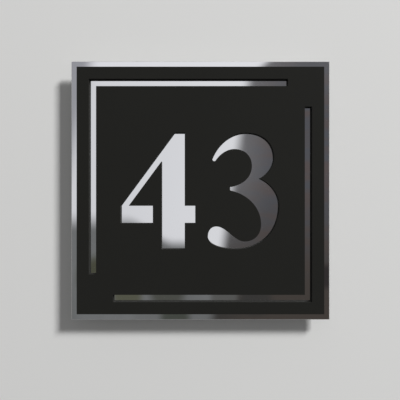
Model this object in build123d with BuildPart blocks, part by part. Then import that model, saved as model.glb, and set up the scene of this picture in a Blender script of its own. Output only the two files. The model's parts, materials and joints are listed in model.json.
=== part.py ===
from build123d import *
import os

# House number plaque, in millimetres. The wall is the plane Y = 0, with the origin in the middle
# of the four wall fixings, +Z up, and the face looking along -Y. A polished plate stands off the
# wall on four bonded studs, and a black panel, cut through with lines and numerals, is bonded to it.

# Sheets
plate_size = 200.0
plate_thickness = 2.0
plate_edge_break = 0.25
rim_width = 5.0
panel_thickness = 3.0

# Two L-shaped line cuts, the second being the first turned half round
line_margin = 9.3
line_width = 5.6
line_end_to_side = 27.8
line_end_to_base = 30.6

# Numerals
digit_height = 89.4
digit_gap = 9.7
digits_right_of_centre = -0.45
digits_above_centre = -0.3
stencil_bridge = 6.6

# Wall fixings
fixing_inset_across = 30.0
fixing_inset_up = 30.0
stud_diameter = 4.0
shank_diameter = 3.5
stud_length = 35.0
stud_tip_chamfer = 0.6
head_diameter = 20.0
head_thickness = 1.5
key_hole_diameter = 2.5
key_hole_inset = 2.6
key_hole_count = 4
sleeve_length = 8.0
sleeve_diameter = 10.0
sleeve_clearance = 0.25
sleeve_edge_break = 0.3

# Sizes that follow from those above
panel_size = plate_size - 2 * rim_width
panel_edge = panel_size / 2
line_outer = panel_edge - line_margin
line_inner = line_outer - line_width
line_end_across = panel_edge - line_end_to_side
line_end_down = panel_edge - line_end_to_base
sleeve_bore = stud_diameter + 2 * sleeve_clearance
plate_back = sleeve_length + head_thickness
plate_front = plate_back + plate_thickness
fixing_across = plate_size / 2 - fixing_inset_across
fixing_up = plate_size / 2 - fixing_inset_up
key_hole_radius = head_diameter / 2 - key_hole_inset

# The numerals are drawn on a grid of a hundredth of their height
grid = digit_height / 100

four_width = 64.3 * grid
four_bar_overhang = 9 * grid
four_stem = 20 * grid
four_top = 9 * grid
four_bar_base = 22.2 * grid
four_bar_height = 15 * grid
four_hairline = 7.2 * grid

three_width = 61.4 * grid
three_bowl_pull = 0.6

digits_width = four_width + digit_gap + three_width
baseline = digits_above_centre - digit_height / 2
four_left = digits_right_of_centre - digits_width / 2
three_left = four_left + four_width + digit_gap

# Planes parallel to the wall are named by how far they stand in front of it
wall = Plane.XZ


def three_point(right, up):
    """A point of the 3, in grid steps from its left side and its baseline."""
    return Vector(three_left + right * grid, baseline + up * grid)


def bowl_edge(start, corner, end):
    """A curve that leaves start towards corner and comes into end from it."""
    leave = start + (corner - start) * three_bowl_pull
    arrive = end + (corner - end) * three_bowl_pull
    return Bezier(start, leave, arrive, end)


# Line cuts
with BuildSketch(wall.offset(plate_front)) as line_cuts:
    with BuildLine():
        Polyline(
            (-line_outer, line_outer),
            (line_end_across, line_outer),
            (line_end_across, line_inner),
            (-line_inner, line_inner),
            (-line_inner, -line_end_down),
            (-line_outer, -line_end_down),
            close=True,
        )
    corner_line = make_face(mode=Mode.PRIVATE)
    with PolarLocations(radius=0, count=2):
        add(corner_line)

# Numeral 4: stem, bar and slanted hairline in one outline. The bar stops short of the stem on the
# left, and the bridge left there carries the triangle inside the numeral.
four_stem_right = four_left + four_width - four_bar_overhang
four_stem_left = four_stem_right - four_stem
four_foot_right = four_stem_left - stencil_bridge
four_bar_bottom = baseline + four_bar_base
four_bar_top = four_bar_bottom + four_bar_height
four_top_edge = baseline + digit_height
four_top_left = four_stem_right - four_top
four_slope = (four_top_edge - four_bar_top) / (four_top_left - four_left)
four_triangle_left = four_left + four_hairline
four_triangle_top = four_bar_top + (four_stem_left - four_triangle_left) * four_slope

with BuildSketch(wall.offset(plate_front)) as numeral_four:
    with BuildLine():
        Polyline(
            (four_stem_left, baseline),
            (four_stem_right, baseline),
            (four_stem_right, four_bar_bottom),
            (four_left + four_width, four_bar_bottom),
            (four_left + four_width, four_bar_top),
            (four_stem_right, four_bar_top),
            (four_stem_right, four_top_edge),
            (four_top_left, four_top_edge),
            (four_left, four_bar_top),
            (four_left, four_bar_bottom),
            (four_foot_right, four_bar_bottom),
            (four_foot_right, four_bar_top),
            (four_triangle_left, four_bar_top),
            (four_stem_left, four_triangle_top),
            close=True,
        )
    make_face()

# Numeral 3: points at the ends and at the extremes of each curve, then where the two curves that
# meet at a corner of the outline would cross
tip_outer = three_point(4, 77.3)
tip_middle = three_point(5.4, 75.5)
tip_inner = three_point(6.8, 76.2)
top = three_point(33.2, 99.9)
upper_right = three_point(56.9, 78.5)
waist = three_point(44.4, 60.7)
lower_right = Vector(three_left + three_width, baseline + 37.5 * grid)
bottom = three_point(23.7, -0.1)
ball_left = three_point(0, 10.8)
ball_top = three_point(7.2, 19.4)
inner_bottom = three_point(31.5, 6.5)
inner_lower_right = three_point(45.7, 21.2)
tongue_under = three_point(19.1, 50.4)
tongue_over = tongue_under + Vector(0, 3 * grid)
inner_upper_right = three_point(37.8, 71.4)
inner_top = three_point(22.5, 85.9)

tip_shoulder = Vector(three_left + 12.6 * grid, top.Y)
waist_above = Vector(upper_right.X, baseline + 66.7 * grid)
waist_below = Vector(lower_right.X, baseline + 53.5 * grid)
tongue_below = Vector(inner_lower_right.X, baseline + 44.7 * grid)
tongue_above = Vector(inner_upper_right.X, baseline + 55.5 * grid)
tip_hollow = Vector(three_left + 13.1 * grid, inner_top.Y)
neck_reach = Vector(8.9 * grid, 0)

with BuildSketch(wall.offset(plate_front)) as numeral_three:
    with BuildLine():
        bowl_edge(tip_outer, tip_shoulder, top)
        bowl_edge(top, Vector(upper_right.X, top.Y), upper_right)
        bowl_edge(upper_right, waist_above, waist)
        bowl_edge(waist, waist_below, lower_right)
        bowl_edge(lower_right, Vector(lower_right.X, bottom.Y), bottom)
        bowl_edge(bottom, Vector(ball_left.X, bottom.Y), ball_left)
        bowl_edge(ball_left, Vector(ball_left.X, ball_top.Y), ball_top)
        Bezier(ball_top, ball_top + neck_reach, inner_bottom - neck_reach, inner_bottom)
        bowl_edge(inner_bottom, Vector(inner_lower_right.X, inner_bottom.Y), inner_lower_right)
        bowl_edge(inner_lower_right, tongue_below, tongue_under)
        Line(tongue_under, tongue_over)
        bowl_edge(tongue_over, tongue_above, inner_upper_right)
        bowl_edge(inner_upper_right, Vector(inner_upper_right.X, inner_top.Y), inner_top)
        bowl_edge(inner_top, tip_hollow, tip_inner)
        ThreePointArc(tip_inner, tip_middle, tip_outer)
    make_face()

# Black panel, cut through by the lines and the numerals
with BuildPart() as face_panel:
    with BuildSketch(wall.offset(plate_front)):
        Rectangle(panel_size, panel_size)
    extrude(amount=panel_thickness)
    for cut in (line_cuts, numeral_four, numeral_three):
        extrude(cut.sketch, amount=panel_thickness, mode=Mode.SUBTRACT)

# Polished plate behind the panel
with BuildPart() as mirror_plate:
    with BuildSketch(wall.offset(plate_back)):
        Rectangle(plate_size, plate_size)
    extrude(amount=plate_thickness)
    sheet_faces = mirror_plate.faces().filter_by(Axis.Y)
    chamfer(sheet_faces.edges(), length=plate_edge_break)

os.makedirs("parts", exist_ok=True)
face_panel.part.label = "face_panel"
export_step(face_panel.part, "parts/face_panel.step")
mirror_plate.part.label = "mirror_plate"
export_step(mirror_plate.part, "parts/mirror_plate.step")

# A disc-head stud in each corner, with the sleeve that sets the gap to the wall. The stud's plain
# shank is inside the sleeve, and its threaded end goes into the wall.
for side, sign_across in (("left", -1), ("right", 1)):
    for level, sign_up in (("lower", -1), ("upper", 1)):
        fixing = (sign_across * fixing_across, 0, sign_up * fixing_up)
        sleeve_plane = Plane(origin=fixing, x_dir=wall.x_dir, z_dir=wall.z_dir)
        head_plane = sleeve_plane.offset(sleeve_length)

        with BuildPart() as bonded_stud:
            with BuildSketch(head_plane):
                Circle(head_diameter / 2)
                with PolarLocations(key_hole_radius, key_hole_count):
                    Circle(key_hole_diameter / 2, mode=Mode.SUBTRACT)
            extrude(amount=head_thickness)
            with BuildSketch(head_plane):
                Circle(shank_diameter / 2)
            extrude(amount=-sleeve_length)
            with BuildSketch(sleeve_plane):
                Circle(stud_diameter / 2)
            extrude(amount=sleeve_length - stud_length)
            tip = bonded_stud.faces().sort_by(Axis.Y)[-1]
            chamfer(tip.edges(), length=stud_tip_chamfer)

        with BuildPart() as spacer_sleeve:
            with BuildSketch(sleeve_plane):
                Circle(sleeve_diameter / 2)
                Circle(sleeve_bore / 2, mode=Mode.SUBTRACT)
            extrude(amount=sleeve_length)
            rims = spacer_sleeve.edges().filter_by(GeomType.CIRCLE).group_by(SortBy.RADIUS)[-1]
            chamfer(rims, length=sleeve_edge_break)

        stud_name = f"bonded_stud_{level}_{side}"
        bonded_stud.part.label = stud_name
        export_step(bonded_stud.part, f"parts/{stud_name}.step")
        sleeve_name = f"spacer_sleeve_{level}_{side}"
        spacer_sleeve.part.label = sleeve_name
        export_step(spacer_sleeve.part, f"parts/{sleeve_name}.step")
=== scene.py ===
import json
import math

import bmesh
import bpy
from mathutils import Matrix, Vector


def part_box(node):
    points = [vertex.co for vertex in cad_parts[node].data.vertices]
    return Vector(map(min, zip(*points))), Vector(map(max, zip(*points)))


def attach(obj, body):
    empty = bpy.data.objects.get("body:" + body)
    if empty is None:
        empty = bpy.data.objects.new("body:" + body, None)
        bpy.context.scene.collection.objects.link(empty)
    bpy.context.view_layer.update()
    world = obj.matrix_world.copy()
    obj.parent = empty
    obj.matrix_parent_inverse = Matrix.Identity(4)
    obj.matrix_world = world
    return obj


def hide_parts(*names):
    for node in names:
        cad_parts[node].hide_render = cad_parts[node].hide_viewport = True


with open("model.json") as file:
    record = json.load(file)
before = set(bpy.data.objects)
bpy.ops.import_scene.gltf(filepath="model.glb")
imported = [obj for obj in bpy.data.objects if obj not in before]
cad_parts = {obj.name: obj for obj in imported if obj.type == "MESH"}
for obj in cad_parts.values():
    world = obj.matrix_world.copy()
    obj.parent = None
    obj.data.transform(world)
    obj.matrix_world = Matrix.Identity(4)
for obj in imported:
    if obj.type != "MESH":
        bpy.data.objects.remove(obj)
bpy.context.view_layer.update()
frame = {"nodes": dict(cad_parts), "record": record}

# House number plaque on a plain wall, in metres. The wall is the plane y = 0, and the face looks
# along -y. The sheets and the spacer sleeves are the CAD nodes. The studs stand for theirs, because
# they have a real screw thread.

MM = 0.001

# Camera: square to the face, a little below its middle
PLATE_TO_CAMERA = 297 * MM
VIEW_WIDTH_AT_PLATE = 310 * MM
CAMERA_ACROSS = -0.34 * MM
CAMERA_UP = -7.31 * MM
CAMERA_CLIP_START = 10 * MM
SENSOR_WIDTH = 36.0

# Stud, with an M4 thread that starts at the wall. The profile gives a radius at shares of one pitch:
# the crest is an eighth of it wide and the root a quarter. Turns to spare run past both ends of the
# thread, and what lies past an end is drawn back to it.
THREAD_START = 0.0
THREAD_PITCH = 0.7 * MM
THREAD_RADIUS = 2.0 * MM
THREAD_ROOT = 1.57 * MM
THREAD_PROFILE = (
    (-1 / 16, THREAD_RADIUS),
    (1 / 16, THREAD_RADIUS),
    (3 / 8, THREAD_ROOT),
    (5 / 8, THREAD_ROOT),
)
SPARE_TURNS = 2
SHANK_RADIUS = 1.75 * MM
TIP_CHAMFER = 0.6 * MM
ROD_SEGMENTS = 24

# Stud head
HEAD_RADIUS = 10 * MM
HEAD_THICKNESS = 1.5 * MM
HEAD_EDGE_ROUND = 0.15 * MM
HEAD_EDGE_RESOLUTION = 1
KEY_HOLE_RADIUS = 1.25 * MM
KEY_HOLE_CIRCLE = 7.4 * MM
KEY_HOLE_COUNT = 4
HEAD_SEGMENTS = 64
KEY_HOLE_SEGMENTS = 20
WELD_DISTANCE = 0.0005 * MM
SMOOTH_ANGLE = math.radians(28)

# Materials. A pair of colours or of roughness is for the low and the high end of a noise.
NOISE_RANGE = (0.3, 0.7)
FACE_COLOURS = ((0.0166, 0.0166, 0.0150, 1), (0.0196, 0.0196, 0.0176, 1))
FACE_ROUGHNESS = (0.76, 0.82)
WIPE_ROUGHNESS = 0.06
# Cut walls: the cutter's lines, in a colour lighter than the faces' that is a painted sheen
CUT_COLOURS_WITH_PAINTED_SHEEN = ((0.0240, 0.0240, 0.0226, 1), (0.0360, 0.0360, 0.0338, 1))
CUT_ROUGHNESS = (0.90, 0.98)
ACRYLIC_SPECULAR = 0.05
ACRYLIC_IOR = 1.49
MIRROR_COLOURS = ((0.845, 0.850, 0.860, 1), (0.870, 0.872, 0.878, 1))
MIRROR_ROUGHNESS = (0.035, 0.06)
SMUDGE_RANGE = (0.45, 0.75)
BRUSHED_COLOURS = ((0.52, 0.52, 0.52, 1), (0.66, 0.66, 0.65, 1))
BRUSHED_ROUGHNESS = (0.30, 0.44)
STUD_COLOURS = ((0.50, 0.50, 0.49, 1), (0.68, 0.68, 0.66, 1))
STUD_ROUGHNESS = (0.24, 0.40)
SLEEVE_COLOURS = ((0.66, 0.67, 0.68, 1), (0.78, 0.79, 0.80, 1))
SLEEVE_ROUGHNESS = (0.28, 0.42)

# Light. The key light is high on the right in front. The rear light is on the left behind the
# plaque and lights its back. Dull surfaces also get an ambient light, most of it from above.
KEY_DIRECTION = Vector((1.3, -1.0, 1.24)).normalized()
KEY_DISTANCE = 6.0
KEY_SIZE = 1.0
KEY_POWER = 425
REAR_LIGHT_PLACE = Vector((-1.4, 2.0, 0.7))
REAR_LIGHT_SIZE = 1.2
REAR_LIGHT_POWER = 7
AMBIENT_LOW = (0.055, 0.055, 0.055, 1)
AMBIENT_HIGH = (0.345, 0.345, 0.345, 1)
RISE_RANGE = (-0.7, 0.7)

# What glossy surfaces reflect: an outlook straight in front of the plaque, and round it a studio
# with shaded patches
STUDIO_LOW = (0.50, 0.50, 0.49, 1)
STUDIO_HIGH = (0.84, 0.84, 0.84, 1)
STUDIO_SHADE = (0.34, 0.34, 0.345, 1)
SHADE_RANGE = (0.42, 0.68)
OUTLOOK_END = 0.40
STUDIO_START = 0.65
LEAST_AHEAD = 0.05

# The outlook is a bright opening with a grey side on its left, a dim one on its right and muted
# ground below. Its places are slopes to the right and upwards of the way straight out. The right
# edge of the opening leans outwards, more so from its bend up. The lower edge has a step down, and
# droops further on the right.
RIGHT_EDGE_START = 0.0785
RIGHT_EDGE_SLOPE = 0.155
RIGHT_EDGE_BEND = 0.32
RIGHT_EDGE_SOFTNESS = 0.018
LEFT_EDGE_START = -0.357
LEFT_EDGE_SLOPE = 0.198
LEFT_EDGE_SOFTNESS = 0.022
LOW_EDGE_STEP = (-0.19, -0.065)
LOW_EDGE_HEIGHTS = (-0.0545, -0.1125)
DROOP_START = -0.04
DROOP_SLOPE = 0.5
LOW_EDGE_SOFTNESS = (0.030, 0.017)
SOFTNESS_STEP = (-0.3, -0.1)

OPENING_LEFT = (0.70, 0.705, 0.735, 1)
OPENING_RIGHT = (0.775, 0.78, 0.805, 1)
OPENING_ACROSS = (-0.35, 0.15)
OPENING_TOP = (0.87, 0.875, 0.91, 1)
OPENING_TOP_STEP = (0.28, 0.36)
OPENING_TOP_SHARE = 0.6
SIDE_GREY = (0.33, 0.332, 0.36, 1)
GROUND_DARK = (0.12, 0.124, 0.122, 1)
GROUND_LIGHT = (0.20, 0.205, 0.21, 1)

DIM_HEIGHTS = (-0.28, 0.12)
DIM_NEAR_LOW = (0.046, 0.043, 0.040, 1)
DIM_NEAR_HIGH = (0.150, 0.148, 0.155, 1)
DIM_LOW = (0.062, 0.053, 0.047, 1)
DIM_REDDISH = (0.104, 0.086, 0.085, 1)
DIM_BLUISH = (0.087, 0.091, 0.104, 1)
BAND_RANGE = (0.38, 0.62)
DIM_FAR = 0.12
DIM_TOP_STEP = (0.2, 0.36)
DIM_TOP_SHARE = 0.5

# Soft spots low in the outlook: centre, radius and colour
OUTLOOK_SPOTS = (
    ((-0.265, -0.20, 0), 0.07, (0.070, 0.072, 0.050, 1)),
    ((-0.19, -0.25, 0), 0.05, (0.096, 0.098, 0.070, 1)),
    ((-0.085, -0.24, 0), 0.06, (0.076, 0.078, 0.068, 1)),
    ((-0.065, -0.31, 0), 0.05, (0.064, 0.070, 0.060, 1)),
    ((0.065, -0.25, 0), 0.045, (0.104, 0.104, 0.100, 1)),
    ((0.145, -0.26, 0), 0.055, (0.044, 0.042, 0.040, 1)),
    ((0.33, -0.20, 0), 0.04, (0.034, 0.030, 0.030, 1)),
)

# Stage. The wall that shows is a little behind the wall plane, clear of the ends of the sleeves.
PALE = (0.80, 0.80, 0.79, 1)
WALL_BEHIND_SLEEVES = 0.2 * MM
FLOOR_HEIGHT = -0.30
FLOOR_FADE_START = 0.35
FLOOR_FADE_END = 1.2
STAGE_REACH = 6.0


class Nodes:
    """Makes and joins the nodes of one material or of the world."""

    def __init__(self, tree):
        tree.nodes.clear()
        self.tree = tree

    def add(self, kind, inputs=(), **settings):
        """A node of that kind. Each input is set to a value, or linked where that is an output."""
        made = self.tree.nodes.new("ShaderNode" + kind)
        for name, value in settings.items():
            setattr(made, name, value)
        for name, value in dict(inputs).items():
            if isinstance(value, bpy.types.NodeSocket):
                self.tree.links.new(value, made.inputs[name])
            else:
                made.inputs[name].default_value = value
        return made

    def math(self, operation, first, second=0.0):
        return self.add("Math", {0: first, 1: second}, operation=operation).outputs[0]

    def line(self, value, slope, start):
        """slope * value + start"""
        return self.math("ADD", self.math("MULTIPLY", value, slope), start)

    def past(self, value, start):
        """How far value is past start, and 0 before it."""
        return self.math("MAXIMUM", self.math("SUBTRACT", value, start), 0.0)

    def step(self, value, low, high, at_low=0.0, at_high=1.0):
        """Goes smoothly from at_low to at_high while value goes from low to high."""
        inputs = {
            "Value": value,
            "From Min": low,
            "From Max": high,
            "To Min": at_low,
            "To Max": at_high,
        }
        return self.add("MapRange", inputs, interpolation_type="SMOOTHSTEP").outputs["Result"]

    def edge(self, beyond, softness):
        """0 before an edge and 1 beyond it, with a smooth change over softness on either side."""
        return self.step(beyond, -softness, softness)

    # A Mix node has its sockets once for each type of data, all under the same names, so the next
    # two methods name them by number

    def blend(self, factor, first, second):
        """A number between first, at factor 0, and second, at factor 1."""
        inputs = {0: factor, 2: first, 3: second}
        return self.add("Mix", inputs, data_type="FLOAT").outputs[0]

    def mix(self, factor, first, second):
        """A colour between first, at factor 0, and second, at factor 1."""
        inputs = {0: factor, 6: first, 7: second}
        return self.add("Mix", inputs, data_type="RGBA").outputs[2]

    def noise(self, vector, scale=1.0, detail=2.0):
        inputs = {"Vector": vector, "Scale": scale, "Detail": detail}
        return self.add("TexNoise", inputs).outputs[0]

    def stretched(self, vector, scale):
        return self.add("Mapping", {"Vector": vector, "Scale": scale}).outputs["Vector"]

    def parts(self, vector):
        """The X, Y and Z of a vector."""
        return self.add("SeparateXYZ", {"Vector": vector}).outputs

    def bump(self, height, strength, distance, under=None):
        """A bumpy normal, on top of the one under it."""
        inputs = {"Height": height, "Strength": strength, "Distance": distance}
        if under is not None:
            inputs["Normal"] = under
        return self.add("Bump", inputs).outputs["Normal"]


def new_material(name):
    """An empty material, and the maker of its nodes."""
    material = bpy.data.materials.new(name)
    material.use_nodes = True
    return material, Nodes(material.node_tree)


def finish_surface(nodes, inputs):
    """Adds the shader with those inputs, as the material's surface."""
    shader = nodes.add("BsdfPrincipled", inputs)
    nodes.add("OutputMaterial", {"Surface": shader.outputs[0]})


def make_black_acrylic():
    """Matt black sheet: fine grain on its faces, cutter lines and a painted sheen on its cut walls.
    """
    material, nodes = new_material("black_acrylic")
    coordinates = nodes.add("TexCoord").outputs
    place = coordinates["Object"]
    facing = nodes.math("ABSOLUTE", nodes.parts(coordinates["Normal"])["Y"])
    on_cut = nodes.step(facing, low=0.7, high=0.3)

    cloud = nodes.noise(place, scale=18, detail=3)
    grain = nodes.noise(place, scale=2600)
    wiped = nodes.noise(nodes.stretched(place, (90, 1, 900)), detail=3)
    cut_lines = nodes.noise(nodes.stretched(place, (2600, 60, 2600)))

    face_colour = nodes.mix(cloud, *FACE_COLOURS)
    # Painted sheen: the cut walls are coloured lighter than the faces, with the cutter's lines in it
    cut_colour_with_painted_sheen = nodes.mix(cut_lines, *CUT_COLOURS_WITH_PAINTED_SHEEN)
    wipe_marks = nodes.line(wiped, slope=WIPE_ROUGHNESS, start=-WIPE_ROUGHNESS / 2)
    clouded = nodes.step(cloud, *NOISE_RANGE, *FACE_ROUGHNESS)
    face_roughness = nodes.math("ADD", clouded, wipe_marks)
    cut_roughness = nodes.step(cut_lines, *NOISE_RANGE, *CUT_ROUGHNESS)

    grained = nodes.bump(grain, strength=0.10, distance=0.04 * MM)
    cut_height = nodes.math("MULTIPLY", cut_lines, on_cut)
    finish_surface(nodes, {
        "Base Color": nodes.mix(on_cut, face_colour, cut_colour_with_painted_sheen),
        "Roughness": nodes.blend(on_cut, face_roughness, cut_roughness),
        "Specular IOR Level": ACRYLIC_SPECULAR,
        "IOR": ACRYLIC_IOR,
        "Normal": nodes.bump(cut_height, strength=0.2, distance=0.04 * MM, under=grained),
    })
    return material


def make_mirror_steel():
    """Polished sheet: a clear mirror in front, a brushed back, and edges as brushed as the back."""
    material, nodes = new_material("mirror_steel")
    coordinates = nodes.add("TexCoord").outputs
    place = coordinates["Object"]
    toward_wall = nodes.parts(coordinates["Normal"])["Y"]
    off_front = nodes.step(toward_wall, low=-0.95, high=-0.6)

    smudge = nodes.noise(place, scale=26, detail=4)
    brushed = nodes.noise(nodes.stretched(place, (25, 2500, 2500)), detail=3)
    wave = nodes.noise(place, scale=14, detail=1)

    front_colour = nodes.mix(smudge, *MIRROR_COLOURS)
    back_colour = nodes.mix(brushed, *BRUSHED_COLOURS)
    front_roughness = nodes.step(smudge, *SMUDGE_RANGE, *MIRROR_ROUGHNESS)
    back_roughness = nodes.step(brushed, *NOISE_RANGE, *BRUSHED_ROUGHNESS)

    waved = nodes.bump(wave, strength=0.05, distance=0.5 * MM)
    brush_height = nodes.math("MULTIPLY", brushed, off_front)
    finish_surface(nodes, {
        "Base Color": nodes.mix(off_front, front_colour, back_colour),
        "Metallic": 1.0,
        "Roughness": nodes.blend(off_front, front_roughness, back_roughness),
        "Normal": nodes.bump(brush_height, strength=0.15, distance=0.03 * MM, under=waved),
    })
    return material


def make_stud_steel():
    """Bright steel, with duller patches and the marks of rolling."""
    material, nodes = new_material("stud_steel")
    place = nodes.add("TexCoord").outputs["Object"]
    patch = nodes.noise(place, scale=320, detail=3)
    marks = nodes.noise(nodes.stretched(place, (900, 5200, 900)))
    finish_surface(nodes, {
        "Base Color": nodes.mix(patch, *STUD_COLOURS),
        "Metallic": 1.0,
        "Roughness": nodes.step(patch, *NOISE_RANGE, *STUD_ROUGHNESS),
        "Normal": nodes.bump(marks, strength=0.10, distance=0.03 * MM),
    })
    return material


def make_sleeve_aluminium():
    """Turned aluminium, with the tool's fine rings along the tube."""
    material, nodes = new_material("sleeve_aluminium")
    place = nodes.add("TexCoord").outputs["Object"]
    rings = nodes.noise(nodes.stretched(place, (40, 6000, 40)))
    patch = nodes.noise(place, scale=260, detail=3)
    finish_surface(nodes, {
        "Base Color": nodes.mix(patch, *SLEEVE_COLOURS),
        "Metallic": 1.0,
        "Roughness": nodes.step(rings, *NOISE_RANGE, *SLEEVE_ROUGHNESS),
        "Normal": nodes.bump(rings, strength=0.25, distance=0.03 * MM),
    })
    return material


def thread_point(along, profile_radius, length):
    """Distance along the threaded end and radius there, for a point of the thread's profile. The
    thread grows out of the shank in its first turn and ends in a chamfer."""
    along = min(length, max(0.0, along))
    grown = min(1.0, along / THREAD_PITCH)
    radius = SHANK_RADIUS + (profile_radius - SHANK_RADIUS) * grown
    chamfer_radius = THREAD_RADIUS - TIP_CHAMFER + length - along
    return along, min(radius, chamfer_radius)


def mesh_from(bm, name):
    """A mesh of what is in bm, with its doubled points welded and its faces turned outwards."""
    bmesh.ops.remove_doubles(bm, verts=bm.verts, dist=WELD_DISTANCE)
    bmesh.ops.dissolve_degenerate(bm, edges=bm.edges, dist=WELD_DISTANCE)
    bmesh.ops.recalc_face_normals(bm, faces=bm.faces)
    mesh = bpy.data.meshes.new(name)
    bm.to_mesh(mesh)
    bm.free()
    return mesh


def make_rod_mesh(start, tip):
    """A rod on the y axis, plain from start to the wall and threaded from there to its tip."""
    bm = bmesh.new()
    length = tip - THREAD_START

    def rod_vertex(share, y, radius):
        angle = 2 * math.pi * share
        return bm.verts.new((radius * math.cos(angle), y, radius * math.sin(angle)))

    shares = [segment / ROD_SEGMENTS for segment in range(ROD_SEGMENTS)]
    rows = []
    for turn in range(-SPARE_TURNS, math.ceil(length / THREAD_PITCH) + SPARE_TURNS):
        for offset, profile_radius in THREAD_PROFILE:
            row = []
            for share in shares:
                pitches = turn + offset + share
                along, radius = thread_point(pitches * THREAD_PITCH, profile_radius, length)
                row.append(rod_vertex(share, THREAD_START + along, radius))
            rows.append(row)

    # A row climbs one pitch on its way round, so its end meets the row one turn further on
    turn_rows = len(THREAD_PROFILE)
    for index in range(len(rows) - 1 - turn_rows):
        lower, upper = rows[index], rows[index + 1]
        for segment in range(ROD_SEGMENTS - 1):
            bm.faces.new((lower[segment], lower[segment + 1], upper[segment + 1], upper[segment]))
        next_lower, next_upper = rows[index + turn_rows], rows[index + 1 + turn_rows]
        bm.faces.new((lower[-1], next_lower[0], next_upper[0], upper[-1]))

    inner_end = [rod_vertex(share, start, SHANK_RADIUS) for share in shares]
    for segment in range(ROD_SEGMENTS):
        after = (segment + 1) % ROD_SEGMENTS
        bm.faces.new((inner_end[segment], inner_end[after], rows[0][after], rows[0][segment]))
    bm.faces.new(inner_end)
    bm.faces.new(rows[-1])
    return mesh_from(bm, "rod")


def shape_of(holder):
    """The shape that an object has once its curves and modifiers are worked out."""
    shaped = holder.evaluated_get(bpy.context.evaluated_depsgraph_get())
    bm = bmesh.new()
    bm.from_mesh(shaped.to_mesh())
    shaped.to_mesh_clear()
    return bm


def circle_points(radius, count, centre_x=0.0, centre_y=0.0):
    """Points spaced evenly round a circle."""
    angles = [2 * math.pi * index / count for index in range(count)]
    return [(centre_x + radius * math.cos(a), centre_y + radius * math.sin(a)) for a in angles]


def make_head_mesh():
    """The head's disc with its key holes, rounded along every edge, in the plane z = 0."""
    outline = bpy.data.curves.new("head_outline", "CURVE")
    outline.dimensions = "2D"
    outline.fill_mode = "BOTH"
    outline.extrude = HEAD_THICKNESS / 2 - HEAD_EDGE_ROUND
    outline.bevel_depth = HEAD_EDGE_ROUND
    outline.bevel_resolution = HEAD_EDGE_RESOLUTION
    outline.offset = -HEAD_EDGE_ROUND
    loops = [circle_points(HEAD_RADIUS, HEAD_SEGMENTS)]
    for hole_x, hole_y in circle_points(KEY_HOLE_CIRCLE, KEY_HOLE_COUNT):
        loops.append(circle_points(KEY_HOLE_RADIUS, KEY_HOLE_SEGMENTS, hole_x, hole_y))
    for loop in loops:
        spline = outline.splines.new("POLY")
        spline.points.add(len(loop) - 1)
        spline.use_cyclic_u = True
        for point, (x, y) in zip(spline.points, loop):
            point.co = (x, y, 0, 1)
    holder = bpy.data.objects.new("head_outline", outline)
    bpy.context.scene.collection.objects.link(holder)
    bm = shape_of(holder)
    bpy.data.objects.remove(holder)
    bpy.data.curves.remove(outline)
    return mesh_from(bm, "head")


def make_stud_mesh(head_front, tip):
    """A head and a rod on the y axis, in one closed surface."""
    head_middle = head_front + HEAD_THICKNESS / 2
    head_mesh = make_head_mesh()
    turn_to_wall = Matrix.Rotation(math.radians(-90), 4, "X")
    head_mesh.transform(Matrix.Translation((0, head_middle, 0)) @ turn_to_wall)
    head = bpy.data.objects.new("head", head_mesh)
    rod = bpy.data.objects.new("rod", make_rod_mesh(head_middle, tip))
    for holder in (head, rod):
        bpy.context.scene.collection.objects.link(holder)
    union = head.modifiers.new("union", "BOOLEAN")
    union.operation = "UNION"
    union.solver = "EXACT"
    union.object = rod
    mesh = mesh_from(shape_of(head), "stud")
    for holder in (head, rod):
        bpy.data.objects.remove(holder)
    mesh.shade_smooth()
    mesh.set_sharp_from_angle(angle=SMOOTH_ANGLE)
    return mesh


def make_stud(node, stud_mesh, material):
    """A threaded stud in the place of a CAD stud."""
    low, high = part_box(node)
    axis = (low + high) / 2
    name = node.replace("bonded", "threaded")
    mesh = stud_mesh.copy()
    mesh.transform(Matrix.Translation((axis.x, 0, axis.z)))
    mesh.materials.append(material)
    stud = bpy.data.objects.new(name, mesh)
    bpy.context.scene.collection.objects.link(stud)
    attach(stud, "root")
    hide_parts(node)


def make_stage_sheet(name, corners, material):
    """A flat sheet of the stage. It neither shows in the mirror nor throws light on the plaque."""
    mesh = bpy.data.meshes.new(name)
    mesh.from_pydata(corners, [], [(0, 1, 2, 3)])
    mesh.materials.append(material)
    sheet = bpy.data.objects.new(name, mesh)
    bpy.context.scene.collection.objects.link(sheet)
    sheet.visible_glossy = False
    sheet.visible_diffuse = False


def make_floor_material():
    """Pale floor that keeps the shadows near the plaque and fades into the background far off."""
    material, nodes = new_material("pale_floor")
    place = nodes.add("TexCoord").outputs["Object"]
    distance = nodes.add("VectorMath", {0: place}, operation="LENGTH").outputs["Value"]
    far_off = nodes.step(distance, FLOOR_FADE_START, FLOOR_FADE_END)
    near = nodes.add("BsdfDiffuse", {"Color": PALE})
    far = nodes.add("Emission", {"Color": PALE})
    mixed = nodes.add("MixShader", {0: far_off, 1: near.outputs[0], 2: far.outputs[0]})
    nodes.add("OutputMaterial", {"Surface": mixed.outputs[0]})
    return material


def make_wall_material():
    """Pale wall that only a camera in front of it sees, so that it hides nothing from behind."""
    material, nodes = new_material("pale_wall")
    from_camera = nodes.add("LightPath").outputs["Is Camera Ray"]
    from_behind = nodes.add("NewGeometry").outputs["Backfacing"]
    shown = nodes.math("SUBTRACT", from_camera, from_behind)
    clear = nodes.add("BsdfTransparent")
    shader = nodes.add("BsdfDiffuse", {"Color": PALE})
    mixed = nodes.add("MixShader", {0: shown, 1: clear.outputs[0], 2: shader.outputs[0]})
    nodes.add("OutputMaterial", {"Surface": mixed.outputs[0]})
    return material


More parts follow.
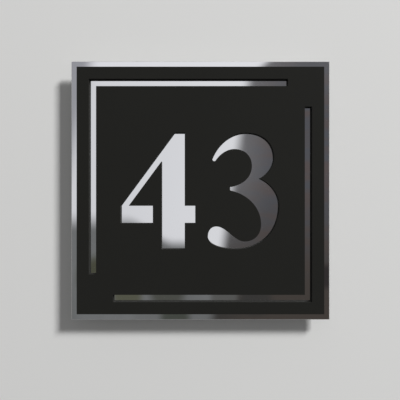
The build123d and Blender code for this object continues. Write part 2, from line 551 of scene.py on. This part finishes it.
def make_outlook(nodes, across, up):
    """What the mirror looks out on. across and up are slopes to the right and upwards of the way
    straight out."""
    place = nodes.add("CombineXYZ", {"X": across, "Y": up}).outputs[0]
    haze = nodes.noise(nodes.stretched(place, (14, 8, 1)))
    bands = nodes.noise(nodes.stretched(place, (8, 42, 1)))

    # Edges of the opening, and how far beyond each of them the place is
    right_edge = nodes.line(up, RIGHT_EDGE_SLOPE, RIGHT_EDGE_START)
    right_edge = nodes.math("ADD", right_edge, nodes.past(up, RIGHT_EDGE_BEND))
    beyond_right = nodes.math("SUBTRACT", across, right_edge)
    left_edge = nodes.line(up, LEFT_EDGE_SLOPE, LEFT_EDGE_START)
    beyond_left = nodes.math("SUBTRACT", left_edge, across)
    droop = nodes.math("MULTIPLY", nodes.past(across, DROOP_START), DROOP_SLOPE)
    low_edge = nodes.step(across, *LOW_EDGE_STEP, *LOW_EDGE_HEIGHTS)
    low_edge = nodes.math("SUBTRACT", low_edge, droop)
    beyond_low = nodes.math("SUBTRACT", low_edge, up)
    low_softness = nodes.blend(nodes.step(across, *SOFTNESS_STEP), *LOW_EDGE_SOFTNESS)

    # Opening, the side on its left and the ground
    opening = nodes.mix(nodes.step(across, *OPENING_ACROSS), OPENING_LEFT, OPENING_RIGHT)
    near_top = nodes.step(up, *OPENING_TOP_STEP, at_high=OPENING_TOP_SHARE)
    opening = nodes.mix(near_top, opening, OPENING_TOP)
    upper_left = nodes.mix(nodes.edge(beyond_left, LEFT_EDGE_SOFTNESS), opening, SIDE_GREY)
    ground = nodes.mix(haze, GROUND_DARK, GROUND_LIGHT)
    low_side = nodes.edge(nodes.math("DIVIDE", beyond_low, low_softness), 1.0)
    left = nodes.mix(low_side, upper_left, ground)

    # Dim side on the right
    height = nodes.step(up, *DIM_HEIGHTS)
    dim_near = nodes.mix(height, DIM_NEAR_LOW, DIM_NEAR_HIGH)
    dim_high = nodes.mix(nodes.step(bands, *BAND_RANGE), DIM_REDDISH, DIM_BLUISH)
    dim_far = nodes.mix(height, DIM_LOW, dim_high)
    dim = nodes.mix(nodes.step(beyond_right, 0.0, DIM_FAR), dim_near, dim_far)
    near_top = nodes.step(up, *DIM_TOP_STEP, at_high=DIM_TOP_SHARE)
    dim = nodes.mix(near_top, dim, DIM_NEAR_HIGH)

    outlook = nodes.mix(nodes.edge(beyond_right, RIGHT_EDGE_SOFTNESS), left, dim)
    for centre, radius, colour in OUTLOOK_SPOTS:
        inputs = {0: place, 1: centre}
        distance = nodes.add("VectorMath", inputs, operation="DISTANCE").outputs["Value"]
        outlook = nodes.mix(nodes.step(distance, radius, radius / 2), outlook, colour)
    return outlook


def make_world():
    """Pale to the camera, an ambient light to dull surfaces, and to glossy ones the outlook with
    the studio round it."""
    world = bpy.data.worlds.new("studio")
    world.use_nodes = True
    world.cycles.sampling_method = "NONE"
    nodes = Nodes(world.node_tree)
    ray = nodes.add("LightPath").outputs
    way = nodes.add("TexCoord").outputs["Generated"]
    direction = nodes.parts(way)
    ahead = nodes.math("MAXIMUM", nodes.math("MULTIPLY", direction["Y"], -1.0), LEAST_AHEAD)
    across = nodes.math("DIVIDE", direction["X"], ahead)
    up = nodes.math("DIVIDE", direction["Z"], ahead)
    rise = nodes.step(direction["Z"], *RISE_RANGE)

    shade = nodes.step(nodes.noise(way, scale=2.2, detail=0), *SHADE_RANGE)
    studio = nodes.mix(shade, nodes.mix(rise, STUDIO_LOW, STUDIO_HIGH), STUDIO_SHADE)
    aside = nodes.math("MAXIMUM", nodes.math("ABSOLUTE", across), nodes.math("ABSOLUTE", up))
    off_outlook = nodes.step(aside, OUTLOOK_END, STUDIO_START)
    reflected = nodes.mix(off_outlook, make_outlook(nodes, across, up), studio)
    ambient = nodes.mix(rise, AMBIENT_LOW, AMBIENT_HIGH)

    # A dull surface that faces the mirror sees the ambient light in it, not the outlook
    seen_by_dull = nodes.math("MINIMUM", ray["Diffuse Depth"], 1.0)
    mirrored = nodes.math("SUBTRACT", ray["Is Glossy Ray"], seen_by_dull)
    lit = nodes.mix(mirrored, ambient, reflected)
    colour = nodes.mix(ray["Is Camera Ray"], lit, PALE)
    background = nodes.add("Background", {"Color": colour})
    nodes.add("OutputWorld", {"Surface": background.outputs[0]})
    return world


def add_area_light(name, place, size, power):
    """A square light that points at the origin, in the middle of the plaque."""
    light = bpy.data.lights.new(name, "AREA")
    light.size = size
    light.energy = power
    holder = bpy.data.objects.new(name, light)
    holder.location = place
    holder.rotation_euler = (-place).to_track_quat("-Z", "Y").to_euler()
    holder.visible_camera = False
    bpy.context.scene.collection.objects.link(holder)


scene = bpy.context.scene
scene.view_settings.view_transform = "Standard"

# Materials of the CAD nodes, and the studs that stand for theirs
slot_materials = {
    "black_acrylic": make_black_acrylic(),
    "mirror_steel": make_mirror_steel(),
    "stud_steel": make_stud_steel(),
    "sleeve_aluminium": make_sleeve_aluminium(),
}
stud_low, stud_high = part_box("bonded_stud_lower_left")
stud_mesh = make_stud_mesh(stud_low.y, stud_high.y)
for subpart in frame["record"]["subparts"]:
    node = subpart["node"]
    slot = subpart["material_slot"]
    if slot == "stud_steel":
        make_stud(node, stud_mesh, slot_materials[slot])
    else:
        for material_slot in frame["nodes"][node].material_slots:
            material_slot.material = slot_materials[slot]
bpy.data.meshes.remove(stud_mesh)

# Stage
wall_corners = [
    (-STAGE_REACH, WALL_BEHIND_SLEEVES, FLOOR_HEIGHT),
    (STAGE_REACH, WALL_BEHIND_SLEEVES, FLOOR_HEIGHT),
    (STAGE_REACH, WALL_BEHIND_SLEEVES, STAGE_REACH),
    (-STAGE_REACH, WALL_BEHIND_SLEEVES, STAGE_REACH),
]
floor_corners = [
    (-STAGE_REACH, -STAGE_REACH, FLOOR_HEIGHT),
    (STAGE_REACH, -STAGE_REACH, FLOOR_HEIGHT),
    (STAGE_REACH, STAGE_REACH, FLOOR_HEIGHT),
    (-STAGE_REACH, STAGE_REACH, FLOOR_HEIGHT),
]
make_stage_sheet("wall", wall_corners, make_wall_material())
make_stage_sheet("floor", floor_corners, make_floor_material())

# Light and camera
scene.world = make_world()
add_area_light("key_light", KEY_DIRECTION * KEY_DISTANCE, KEY_SIZE, KEY_POWER)
add_area_light("rear_light", REAR_LIGHT_PLACE, REAR_LIGHT_SIZE, REAR_LIGHT_POWER)

plate_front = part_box("mirror_plate")[0].y
lens = bpy.data.cameras.new("camera")
lens.sensor_width = SENSOR_WIDTH
lens.lens = SENSOR_WIDTH * PLATE_TO_CAMERA / VIEW_WIDTH_AT_PLATE
lens.clip_start = CAMERA_CLIP_START
camera = bpy.data.objects.new("camera", lens)
camera.location = (CAMERA_ACROSS, plate_front - PLATE_TO_CAMERA, CAMERA_UP)
camera.rotation_euler = (math.radians(90), 0, 0)
scene.collection.objects.link(camera)
scene.camera = camera
